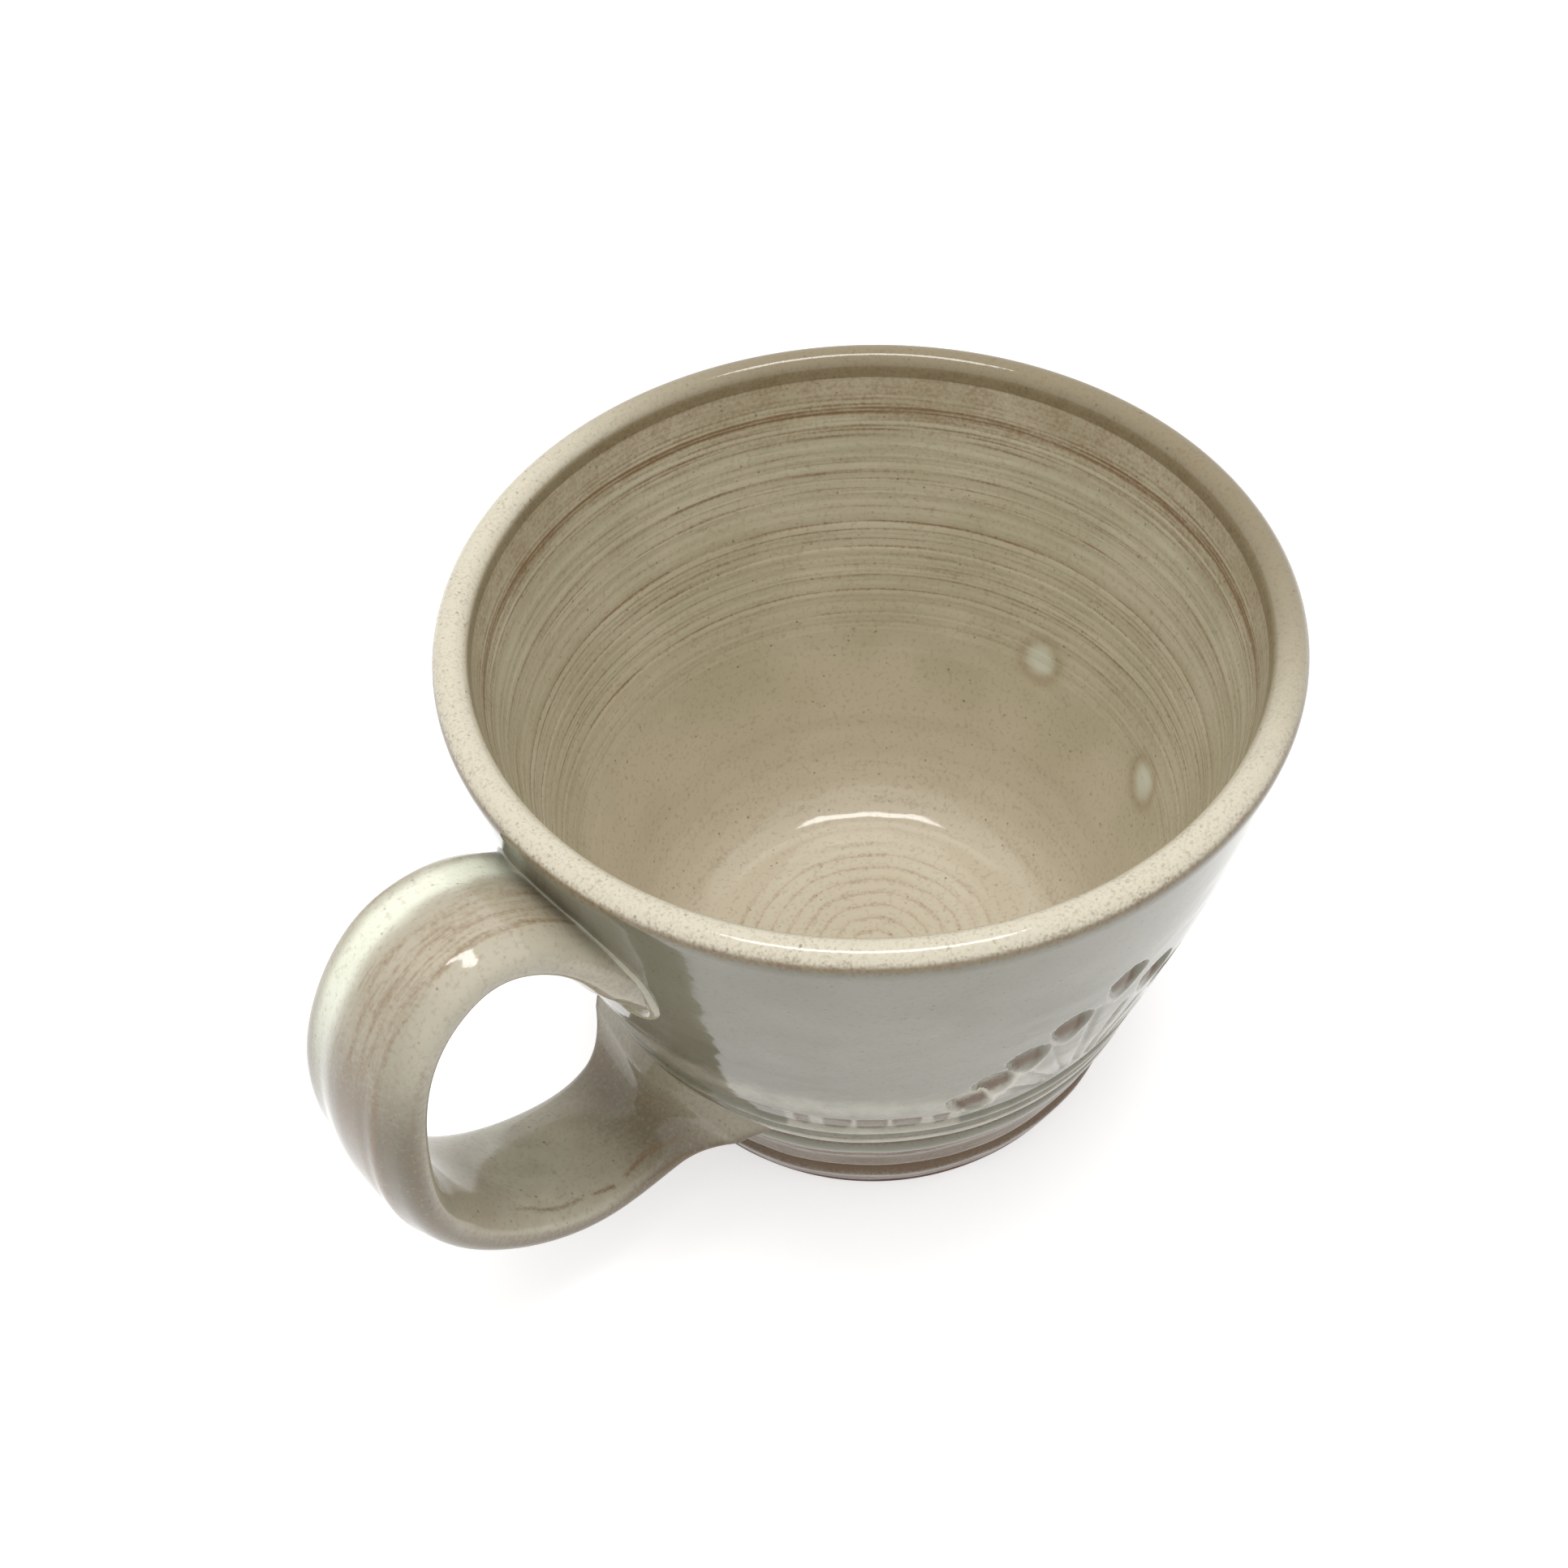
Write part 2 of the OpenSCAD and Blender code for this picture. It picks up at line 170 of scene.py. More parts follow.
def notch_row(value, side, radius, height):
    """Cells pressed in a row beside a fan: their depth, their brown edges with painted shade under their
    heads, and their pale posts.
    """
    foot, head, depth = value["Notch foot"], value["Notch head"], value["Notch depth"]
    pitch, last = value["Notch pitch"], value["Notches"] - 1.0
    beside = abs(side) - value["Notch start"]
    number = (beside / pitch).math("ROUND").math("MAXIMUM", 0.0).math("MINIMUM", last)
    off = abs(beside - number * pitch) * radius * (math.pi / 180.0)
    half = value["Notch half width"] - (number - last * 0.5) ** 2.0 * 0.28
    room = half - (WAIST_H - height).math("MAXIMUM", 0.0) * 0.1 - off
    inside = room.step(-0.2, 0.25)
    cell = inside * height.step(foot, foot + 0.5) * height.step(head, head - 0.3)
    row = height.step(foot - 1.6, foot) * height.step(head + 0.3, head - 0.3)
    row = row * beside.step(-4.0, -3.0) * (beside - last * pitch).step(3.6, 2.6)
    # The row stands level with the belly, not back under its edge
    level = row * height.step(foot - 1.6, foot + 0.2) * height.math("LESS_THAN", WAIST_H)
    dent = cell * depth - level * depth.math("GREATER_THAN", 0.0) * WAIST_STEP
    upright = height.step(foot - 0.1, foot + 0.5) * height.step(head, head - 0.4)
    # A dark line under the head of each cell is painted shade under its overhanging edge; the cells are also
    # browner inside, at their sides and along their foot
    brown = inside * height.bump(head - 1.5, 0.6) * 0.7 + cell * 0.75
    brown = brown + room.bump(0.05, 0.22) * upright * 0.5
    brown = brown + inside * height.bump(foot - 1.8, 0.25) * 0.6
    return dent, brown * depth * 1.4, row * (1.0 - cell) * depth * 1.05


def petal_fan(tree, value, side, radius, height, shape):
    """Presses the petals of a fan one a round, each with a vein drawn beside it."""
    start = add(tree, "GeometryNodeRepeatInput", {"Iterations": value["Petals"]})
    end = add(tree, "GeometryNodeRepeatOutput")
    start.pair_with_output(end)
    end.repeat_items.clear()
    end.repeat_items.new("GEOMETRY", "Wall")
    tree.links.new(shape, start.inputs["Wall"])
    depth, base = value["Petal depth"], value["Fan base"]
    tail, head = value["Petal tail"], value["Petal head"]
    arc = radius * (math.pi / 180.0)

    # Where this petal stands: the middle one is the highest, the others fall away from it
    outmost = (value["Petals"] - 1.0) * 0.5
    place = Field(tree, start.outputs["Iteration"]) - outmost
    turn = place * value["Petal turn"] * (math.pi / 180.0)
    least = (outmost * -0.4).math("EXPONENT")
    crown = ((abs(place) * -0.4).math("EXPONENT") - least) / (1.0 - least)
    reach = crown * value["Fan crown"] + value["Fan reach"]
    middle = reach - 3.2
    top = middle * turn.math("COSINE") + base
    belly_r = top * 0.21 + 37.7
    away = (middle * turn.math("SINE") / belly_r).math("ARCSINE") * (180.0 / math.pi)

    # The drop-shaped petal in its own axes, u across and v along, deepest at its head
    lean = turn * 0.35
    x = (side + away) * arc
    y = height - top
    u = x * lean.math("COSINE") + y * lean.math("SINE")
    v = y * lean.math("COSINE") - x * lean.math("SINE")
    above = v.math("GREATER_THAN", 0.0)
    long = tail - above * (tail - head)
    power = 1.7
    edge = abs(u / (value["Petal half width"] + v * 0.05)) ** power + abs(v / long) ** power
    edge = edge ** (1.0 / power)
    inside = edge.step(1.03, 0.8)
    pressed = inside * (v.step(-5.8, 2.2) * 0.9 + 0.1) * depth
    border = edge.bump(1.16, 0.13) * v.step(1.5, -3.0) * depth * 0.2

    # The vein from between this petal and the next, down towards the base
    between = turn + value["Petal turn"] * (math.pi / 360.0)
    x = side * arc
    y = height - base
    along = y * between.math("COSINE") - x * between.math("SINE")
    off = x * between.math("COSINE") + y * between.math("SINE")
    drawn = off.bump(0.0, 0.55) * along.step(5.0, 9.0) * (along - reach).step(-7.0, -9.5)
    drawn = drawn * place.math("LESS_THAN", outmost - 0.5) * (1.0 - inside)

    earlier = {}
    for key in ("dent", "brown", "pool"):
        named = add(tree, "GeometryNodeInputNamedAttribute", {"Name": key}, data_type="FLOAT")
        earlier[key] = Field(tree, named.outputs[0])
    # Brown low in each petal where the glaze runs thin, and a dark line along its head that is painted shade
    # under the pressed edge
    brown = inside * v.bump(-2.9, 1.6) * 0.55 + edge.bump(0.9, 0.14) * above * 0.6 + drawn * 0.3
    pool = inside * v.bump(0.1, 1.2) * 0.3 + border * 0.8
    later = {
        "dent": (earlier["dent"] + drawn * value["Vein depth"]).math("MAXIMUM", pressed) - border,
        "brown": earlier["brown"] + brown * depth,
        "pool": earlier["pool"] + pool * depth,
    }
    shape = start.outputs["Wall"]
    for key, field in later.items():
        inputs = {"Geometry": shape, "Name": key, "Value": field}
        shape = add(tree, "GeometryNodeStoreNamedAttribute", inputs, data_type="FLOAT").outputs[0]
    tree.links.new(shape, end.inputs["Wall"])
    return end.outputs["Wall"]


# What a row of a profile says of its glaze, beside its place
MARKS = ("face", "lip", "brown", "pool", "floor", "warm", "streak")


def wall_tree():
    """Turns the rows of a profile round the axis and presses the ornament in; mm and degrees."""
    sizes = {
        "Segments": 256,
        "Crowding": 0.0,
        "Line wobble": 0.0,
        "Drift scale": 1.6,
        "Spiral pitch": 2.5,
        "Spiral depth": 0.0,
        "Unevenness": 0.0,
        "Dents per mm": 0.085,
        "Thin and shaded side": 195.0,
        "Fan angle": 85.0,
        "Fan base": 25.0,
        "Fan reach": 24.0,
        "Fan crown": 12.5,
        "Petals": 0,
        "Petal turn": 14.0,
        "Petal half width": 2.85,
        "Petal tail": 5.9,
        "Petal head": 2.7,
        "Petal depth": 0.0,
        "Vein depth": 0.0,
        "Notches": 5,
        "Notch start": 26.0,
        "Notch pitch": 6.1,
        "Notch half width": 2.3,
        "Notch foot": 27.0,
        "Notch head": 32.7,
        "Notch depth": 0.0,
    }
    tree, given, value = new_tree("thrown and pressed wall", "Profile", sizes, "Wall")
    profile = given.outputs["Profile"]

    # One column of the grid for each step round the axis, one row for each profile point
    size = add(tree, "GeometryNodeAttributeDomainSize", {"Geometry": profile}, component="MESH")
    rows = Field(tree, size.outputs["Point Count"])
    columns = value["Segments"] + 1.0
    grid = add(tree, "GeometryNodeMeshGrid", {"Vertices X": columns, "Vertices Y": rows})
    index = Field(tree, add(tree, "GeometryNodeInputIndex").outputs[0])
    row = index.math("MODULO", rows)
    share = ((index - row) / rows).math("ROUND") / value["Segments"]
    even = share * (2.0 * math.pi) - math.pi
    angle = even + value["Crowding"] * (even * 2.0).math("SINE")
    cosine, sine = angle.math("COSINE"), angle.math("SINE")

    # The place and the marks of that profile point
    sources = {"place": add(tree, "GeometryNodeInputPosition")}
    for key in MARKS:
        sources[key] = add(tree, "GeometryNodeInputNamedAttribute", {"Name": key}, data_type="FLOAT")
    taken = {}
    for key, source in sources.items():
        inputs = {"Geometry": profile, "Value": source.outputs[0], "Index": row}
        kind = "FLOAT_VECTOR" if key == "place" else "FLOAT"
        taken[key] = add(tree, "GeometryNodeSampleIndex", inputs, data_type=kind).outputs[0]
    marks = {key: Field(tree, taken[key]) for key in MARKS}
    axes = add(tree, "ShaderNodeSeparateXYZ", {0: taken["place"]})
    radius = Field(tree, axes.outputs["X"]) * (1.0 / MM)
    height = Field(tree, axes.outputs["Z"]) * (1.0 / MM)

    # Slow drift of the turned lines, and the spiral that the fingers left on the floor
    around = add(tree, "ShaderNodeCombineXYZ", {0: cosine, 1: sine, 2: height * 0.04})
    inputs = {"Vector": around.outputs[0], "Scale": value["Drift scale"], "Detail": 2.0}
    slow = Field(tree, add(tree, "ShaderNodeTexNoise", inputs).outputs[0]) - 0.5
    winding = radius / value["Spiral pitch"] * (2.0 * math.pi) + angle + slow * 6.0
    winding = winding.math("SINE")
    lift = slow * value["Line wobble"] * height.step(2.0, 6.0) * height.step(31.0, 26.0)
    lift = lift + winding * marks["floor"] * value["Spiral depth"]
    marks["brown"] = marks["brown"] + marks["floor"] * winding.step(0.1, 1.0) * 0.42
    marks["pool"] = marks["pool"] + marks["floor"] * winding.step(-0.2, -1.0) * 0.55

    # Soft dents of a wall that was pulled up between two hands
    spot = add(tree, "ShaderNodeCombineXYZ", {0: cosine * radius, 1: sine * radius, 2: height * 1.8})
    inputs = {"Vector": spot.outputs[0], "Scale": value["Dents per mm"], "Detail": 2.0}
    soft = Field(tree, add(tree, "ShaderNodeTexNoise", inputs).outputs[0]) - 0.5
    uneven = soft * value["Unevenness"] * height.step(78.0, 64.0)

    # The ornament on both sides of the handle, and the lip, whose coat is thinner on one side, where it is
    # also darkened with painted shade
    side = abs(angle) * (180.0 / math.pi) - value["Fan angle"]
    dent, brown, pool = notch_row(value, side, radius, height)
    # One side of the lip browner and less creamy: thin glaze there, and painted shade
    thin_and_shaded_side = (angle - value["Thin and shaded side"] * (math.pi / 180.0)).math("COSINE").step(-0.5, 0.9)
    marks["brown"] = marks["brown"] + brown + marks["lip"] * thin_and_shaded_side * 0.16
    marks["pool"] = marks["pool"] + pool
    marks["lip"] = marks["lip"] * (1.0 - thin_and_shaded_side * 0.85)
    kept = {key: marks[key] for key in ("brown", "pool", "lip", "warm", "streak")}
    shape = grid.outputs["Mesh"]
    for key, field in {"dent": dent, **kept}.items():
        inputs = {"Geometry": shape, "Name": key, "Value": field}
        shape = add(tree, "GeometryNodeStoreNamedAttribute", inputs, data_type="FLOAT").outputs[0]
    shape = petal_fan(tree, value, side, radius, height, shape)

    # Every point is put in its place, and the seam and the poles are closed
    final = add(tree, "GeometryNodeInputNamedAttribute", {"Name": "dent"}, data_type="FLOAT")
    inward = (Field(tree, final.outputs[0]) + uneven * radius.step(2.0, 20.0)) * marks["face"]
    rise = (lift + uneven * height.step(24.0, 10.0)) * marks["face"]
    out = (radius - inward) * MM
    inputs = {0: out * cosine, 1: out * sine, 2: (height + rise) * MM}
    where = add(tree, "ShaderNodeCombineXYZ", inputs).outputs[0]
    shape = add(tree, "GeometryNodeSetPosition", {"Geometry": shape, "Position": where}).outputs[0]
    closed = add(tree, "GeometryNodeMergeByDistance", {"Geometry": shape, "Distance": 2e-6})
    hand_over(tree, closed.outputs[0], given, "Wall")
    return tree


def grown(name, sketch, tree, inputs):
    """A piece that a tree makes from a sketch, as a plain mesh."""
    piece = bpy.data.objects.new(name, sketch)
    bpy.context.collection.objects.link(piece)
    modifier = piece.modifiers.new(tree.name, "NODES")
    modifier.node_group = tree
    for item in tree.interface.items_tree:
        if item.item_type == "SOCKET" and item.name in inputs:
            modifier[item.identifier] = inputs[item.name]
    made = piece.evaluated_get(bpy.context.evaluated_depsgraph_get())
    shape = bpy.data.meshes.new_from_object(made)
    shape.name = name
    piece.modifiers.clear()
    piece.data = shape
    return piece


def turned(name, tree, rows, marks, inputs):
    """A piece made by the wall tree from profile rows in mm and the marks of each row."""
    sketch = bpy.data.meshes.new(name + " profile")
    sketch.from_pydata([(r * MM, 0.0, z * MM) for r, z in rows], [], [])
    for key in MARKS:
        layer = sketch.attributes.new(key, "FLOAT", "POINT")
        spread = np.broadcast_to(marks.get(key, 0.0), len(rows))
        layer.data.foreach_set("value", spread.astype(np.float32))
    piece = grown(name, sketch, tree, inputs)
    shape = piece.data
    if sum(side.center.x * side.normal.x * side.area for side in shape.polygons) < 0.0:
        shape.flip_normals()
    return piece


def linear(code):
    """Linear colour of an sRGB hex code."""
    parts = [int(code[i : i + 2], 16) / 255.0 for i in (1, 3, 5)]
    return [c / 12.92 if c <= 0.04045 else ((c + 0.055) / 1.055) ** 2.4 for c in parts] + [1.0]


# Bare stoneware: fired red-brown clay, dry to the eye, cloudy in tone and flecked with dark grit
GRIT_MM, CLOUD_MM = 0.7, 9.0
clay = bpy.data.materials.new("bare stoneware")
clay.use_nodes = True
tree = clay.node_tree
shader = tree.nodes["Principled BSDF"]
spot = add(tree, "ShaderNodeTexCoord").outputs["Object"]
inputs = {"Vector": spot, "Scale": 1.0 / (GRIT_MM * MM), "Detail": 3.0}
grit = Field(tree, add(tree, "ShaderNodeTexNoise", inputs).outputs[0])
inputs = {"Vector": spot, "Scale": 1.0 / (CLOUD_MM * MM), "Detail": 3.0}
cloud = Field(tree, add(tree, "ShaderNodeTexNoise", inputs).outputs[0])
tone = linear("#573826")
for share, colour in ((cloud.step(0.35, 0.65), "#6e4d38"), (grit.step(0.58, 0.7), "#402b20")):
    inputs = {0: share, 6: tone, 7: linear(colour)}
    tone = add(tree, "ShaderNodeMix", inputs, data_type="RGBA").outputs[2]
tree.links.new(tone, shader.inputs["Base Color"])
tree.links.new((grit * 0.2 + 0.6).socket, shader.inputs["Roughness"])
rough = add(tree, "ShaderNodeBump", {"Height": grit, "Strength": 0.4, "Distance": 0.0002})
tree.links.new(rough.outputs[0], shader.inputs["Normal"])

# From the middle of the recess under the floor, over the foot ring, up the core and down again
RECESS_H, CORE_FLOOR_H, CORE_T = 2.4, 6.4, 0.8
wall = wall_tree()
heights = np.linspace(3.0, LIP_H - 1.0, 24)
core = outer_r(heights) - 0.9 - 1.4 * step(heights, 4.0, 10.0)
rows = [(0.0, RECESS_H), (28.8, RECESS_H), (29.3, 1.4), (29.8, 0.35), (30.3, 0.05), (31.0, 0.0)]
rows += [(34.4, 0.0), (34.9, 0.1), (35.25, 0.5), (35.5, 1.0), (35.75, 1.5), (35.85, 2.4)]
rows += list(zip(core, heights))
rows += [(r - CORE_T, z) for r, z in zip(core[::-1], heights[::-1]) if z > 9.0]
rows += [(FLOOR_R, CORE_FLOOR_H), (0.0, CORE_FLOOR_H)]
body = turned("clay_body", wall, rows[::-1], {}, {"Material": clay})
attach(body, "root")
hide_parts("thrown_body")


# Pulled strap handle: one strap of the same clay, pulled by hand and bent into an ear.
# Its glaze covers it from wall to wall: pale where it pools in the channel of the outer
# face, brown where it runs thin over the edges and along the pulling streaks. Painted shade
# darkens its lower half and its inner face by the lower root, and painted light pales the
# middle of that face.
def glaze(name, tones, streak, flecks, painted_highlights=()):
    """A glossy glaze whose tone follows the marks brown, pool, warm, lip and streak on the mesh, with pale
    painted highlight spots at given places.
    """
    made = bpy.data.materials.new(name)
    made.use_nodes = True
    tree = made.node_tree
    shader = tree.nodes["Principled BSDF"]
    coordinates = add(tree, "ShaderNodeTexCoord")
    spot = coordinates.outputs["Object"]
    mark = {}
    for key in ("brown", "pool", "warm", "lip", "streak"):
        mark[key] = Field(tree, add(tree, "ShaderNodeAttribute", attribute_name=key).outputs["Fac"])

    # Noise about zero at the sizes in mm at which a glaze varies, and along its streaks
    way, width, stretch = streak
    along = add(tree, "ShaderNodeVectorMath", {0: coordinates.outputs[way], 1: stretch}, operation="MULTIPLY")
    grain = {}
    for key, size, detail, place in (
        ("broad", 16.0, 2.0, spot),
        ("cloud", 3.5, 3.0, spot),
        ("skin", 1.6, 2.0, spot),
        ("mottle", 0.7, 4.0, spot),
        ("fine", 0.5, 2.0, spot),
        ("sugar", 0.38, 1.0, spot),
        ("drawn", width, 3.0, along.outputs[0]),
    ):
        inputs = {"Vector": place, "Scale": 1.0 / (size * MM), "Detail": detail}
        grain[key] = Field(tree, add(tree, "ShaderNodeTexNoise", inputs).outputs[0]) - 0.5

    # Shares of the tones, from the ground up
    bare = mark["brown"] + grain["fine"] * 0.6 + grain["cloud"] * 0.35
    bare = bare + (grain["sugar"] * 0.95 + 0.14) * mark["lip"] + grain["drawn"] * mark["streak"] * 1.5
    layers = [
        (grain["broad"].step(-0.15, 0.18), tones["thick"]),
        ((mark["warm"] + grain["broad"] * 0.5).step(0.0, 1.0), tones["warm"]),
        ((mark["pool"] + grain["cloud"] * 0.5).step(0.05, 1.0), tones["pooled"]),
        ((mark["lip"] + grain["fine"] * 0.4 * mark["lip"]).step(0.1, 0.9), tones["lip"]),
        (bare.step(0.12, 0.95), tones["thin"]),
        (grain["mottle"].step(0.0, 0.25) * flecks, tones["thin"]),
        (grain["mottle"].step(-0.05, -0.22) * flecks * 0.6, tones["thick"]),
    ]
    # Pale painted highlights at given places, each with a thin brown ring round it
    for place, size in painted_highlights:
        away = add(tree, "ShaderNodeVectorMath", {0: spot, 1: place}, operation="DISTANCE")
        away = Field(tree, away.outputs["Value"]) * (1.0 / (size * MM)) + grain["cloud"] * 0.5
        layers.append((away.bump(1.3, 0.4) * 0.28, tones["thin"]))
        layers.append((away.step(1.3, 0.35) * 0.9, "#d9dac9"))
    # Iron specks that burn through the glaze
    specks = add(tree, "ShaderNodeTexVoronoi", {"Vector": spot, "Scale": 1.0 / (1.15 * MM)})
    chance = add(tree, "ShaderNodeSeparateColor", {0: specks.outputs["Color"]})
    size = Field(tree, chance.outputs[0]).step(0.45, 1.0) * 0.2
    dots = (Field(tree, specks.outputs["Distance"]) - size).step(0.04, -0.06)
    layers.append((dots * (Field(tree, chance.outputs[1]) * 0.45 + 0.1), "#5e4836"))
    tone = linear(tones["ground"])
    for share, colour in layers:
        inputs = {0: share, 6: tone, 7: linear(colour)}
        tone = add(tree, "ShaderNodeMix", inputs, data_type="RGBA").outputs[2]
    tree.links.new(tone, shader.inputs["Base Color"])

    # Glass-smooth where the coat is thick, a little drier where it is thin, with a soft skin
    shine = grain["fine"] * 0.06 + 0.09 + bare.step(0.4, 1.2) * 0.12
    tree.links.new(shine.socket, shader.inputs["Roughness"])
    shader.inputs["IOR"].default_value = 1.52
    inputs = {"Height": grain["skin"], "Strength": 0.25, "Distance": 0.00008}
    tree.links.new(add(tree, "ShaderNodeBump", inputs).outputs[0], shader.inputs["Normal"])
    return made


def curve(points, t):
    """Points of a Bezier curve."""
    a, b, c, d = (np.array(p)[:, None, None] for p in points)
    return (1 - t) ** 3 * a + 3 * (1 - t) ** 2 * t * b + 3 * (1 - t) * t * t * c + t**3 * d


def heading(points, t):
    """Directions of a Bezier curve."""
    a, b, c, d = (np.array(p)[:, None, None] for p in points)
    way = (1 - t) ** 2 * (b - a) + 2 * (1 - t) * t * (c - b) + t * t * (d - c)
    return way / np.hypot(way[0], way[1])


def aimed(start, angle, length):
    """The point at a length from a start, in a direction in degrees."""
    angle = math.radians(angle)
    return (start[0] + length * math.cos(angle), start[1] + length * math.sin(angle))


# The strap's middle line in the plane of the handle: up from the wall, over and back to it
UPPER_ROOT_H, LOWER_ROOT_H, ROOT_SINK = 63.5, 17.5, 0.4
UPPER_ROOT = (float(outer_r(UPPER_ROOT_H)) - ROOT_SINK, UPPER_ROOT_H)
LOWER_ROOT = (float(outer_r(LOWER_ROOT_H)) - ROOT_SINK, LOWER_ROOT_H)
OUTMOST = (RIM_R + 27.7, 48.5)
UPPER = (UPPER_ROOT, aimed(UPPER_ROOT, 58, 27.6), aimed(OUTMOST, 90, 23.5), OUTMOST)
LOWER = (OUTMOST, aimed(OUTMOST, -90, 25.6), aimed(LOWER_ROOT, -44, 19.7), LOWER_ROOT)
NECK_W, BEND_W, HEEL_W = 18.0, 22.0, 19.8
UPPER_FLARE, LOWER_FLARE = 3.0, 7.5
STRAP_T, COAT_T, RUN_ON, WELD_END = 6.0, 0.45, 120.0, 0.07
# Runs along the strap between which each root lands: inside the wall and outside it
UPPER_ENDS, LOWER_ENDS = (-0.12, 0.2), (1.16, 0.8)


def strap_half(run):
    """Half width in mm of the strap: wide at both roots, a little wider at its middle."""
    kept = np.clip(run, 0.0, 1.0)
    plain = NECK_W + (HEEL_W - NECK_W) * (0.5 - 0.5 * np.cos(np.pi * kept))
    bent = (BEND_W - plain) / 2 * bump(kept, 0.47, 0.13)
    up = np.maximum(0.0, 1.0 - kept / 0.2)
    low = np.clip(1.0 - (1.0 - run) / 0.17, 0.0, 1.35) / 1.3
    return plain / 2 + bent + UPPER_FLARE * up**2 + LOWER_FLARE * low**3


def strap_point(run, turn):
    """Points in mm of the glazed strap, by the run along it and the angle round it."""
    kept = np.clip(run, 0.0, 1.0)
    up, low = np.clip(2 * kept, 0, 1), np.clip(2 * kept - 1, 0, 1)
    way = np.where(run < 0.5, heading(UPPER, up), heading(LOWER, low))
    mid = np.where(run < 0.5, curve(UPPER, up), curve(LOWER, low)) + RUN_ON * (run - kept) * way
    upper_weld = np.maximum(0, 1 - kept / WELD_END)
    lower_weld = np.maximum(0, 1 - (1 - kept) / WELD_END)
    coat = COAT_T + 0.9 * upper_weld**2 + 2.2 * lower_weld**2
    # Across the strap and off it, rounder than a box and fuller than an ellipse
    across = np.sign(np.cos(turn)) * np.abs(np.cos(turn)) ** 0.8
    off = np.sign(np.sin(turn)) * np.abs(np.sin(turn)) ** 0.8
    # The channel and the crest beside it on the outer face, and the ripples of the pulling
    front = np.clip(off * 3.0, 0.0, 1.0)
    hollow = 0.65 * bump(across, -0.54, 0.26) - 0.2 * bump(across, 0.56, 0.1)
    ripple = 0.01 * np.sin(19.0 * across + 5.0 * run) + 0.006 * np.sin(34.0 * across - 8.0 * run + 1.0)
    # The lower root is thumbed out to thin wings
    wing = 1.0 - 0.92 * bump(kept, 1.0, 0.08) * np.abs(across) ** 1.2
    high = (off * (STRAP_T / 2 + coat) + front * (ripple - hollow)) * wing
    wavy = 0.22 * np.sin(11.0 * run + 0.6) + 0.15 * np.sin(23.0 * run + 2.0)
    wide = strap_half(run) + coat + wavy
    return np.stack([mid[0] - way[1] * high, across * wide, mid[1] + way[0] * high])


def landing(turn, ends, sink):
    """Where the lines along the strap meet the wall, found by halving."""
    inside, outside = (np.full_like(turn, end) for end in ends)
    for _ in range(24):
        half = (inside + outside) / 2
        x, y, z = strap_point(half, turn)
        free = np.hypot(x, y) > outer_r(z) - sink
        outside, inside = np.where(free, half, outside), np.where(free, inside, half)
    return outside


# Rings round the strap, crowded towards both roots, and a point in the wall to close each end
ALONG, AROUND, END_SINK = 240, 160, 0.7
turn = np.linspace(0.0, 2.0 * np.pi, AROUND, endpoint=False)[None, :]
first, last = landing(turn, UPPER_ENDS, END_SINK), landing(turn, LOWER_ENDS, END_SINK)
t = np.linspace(0.0, 1.0, ALONG)[:, None]
t = t - 0.063 * np.sin(2.0 * np.pi * t)
run = t + first * (1 - t) ** 5 + (last - 1.0) * t**5
turn = np.broadcast_to(turn, run.shape)
points = np.moveaxis(strap_point(run, turn), 0, -1).reshape(-1, 3)
closing = []
for ring in (points[:AROUND], points[-AROUND:]):
    z = ring[:, 2].mean()
    closing.append((float(outer_r(z)) - 0.9, 0.0, z))
faces = []
end = (ALONG - 1) * AROUND
for i in range(0, end, AROUND):
    for j in range(AROUND):
        k = (j + 1) % AROUND
        faces.append((i + j, i + k, i + AROUND + k, i + AROUND + j))
for j in range(AROUND):
    k = (j + 1) % AROUND
    faces.append((k, j, len(points)))
    faces.append((end + j, end + k, len(points) + 1))
shape = bpy.data.meshes.new("glazed_strap")
shape.from_pydata((np.vstack([points, closing]) * MM).tolist(), [], faces)
shape.polygons.foreach_set("use_smooth", [True] * len(shape.polygons))

# Marks of the glaze: channel, crest, edges, inner face and a broken brown line along that face;
# lip stands here for the darker olive of the lower half and of the inner face by the lower root, both painted
# shade
across, off = np.cos(turn), np.sin(turn)
front = np.clip(off * 4.0, 0.0, 1.0)
back = np.clip(-off * 4.0, 0.0, 1.0)
line = 0.7 + 0.05 * np.sin(25.0 * run) + 0.03 * np.sin(61.0 * run)
broken = back * bump(across, line, 0.042) * step(run, 0.6, 0.68) * step(run, 0.97, 0.93)
broken *= step(np.sin(70.0 * run + 2.0 * np.sin(31.0 * run)), -1.1, -0.3)
worn = 0.36 * bump(across, 0.2, 0.42) - 0.25 * bump(across, -0.5, 0.2)
worn += 0.5 * bump(across, -0.9, 0.1) + 0.3 * bump(across, 0.5, 0.05)
channel = bump(across, -0.48, 0.26) * (0.25 + 0.85 * step(run, 0.62, 0.3))
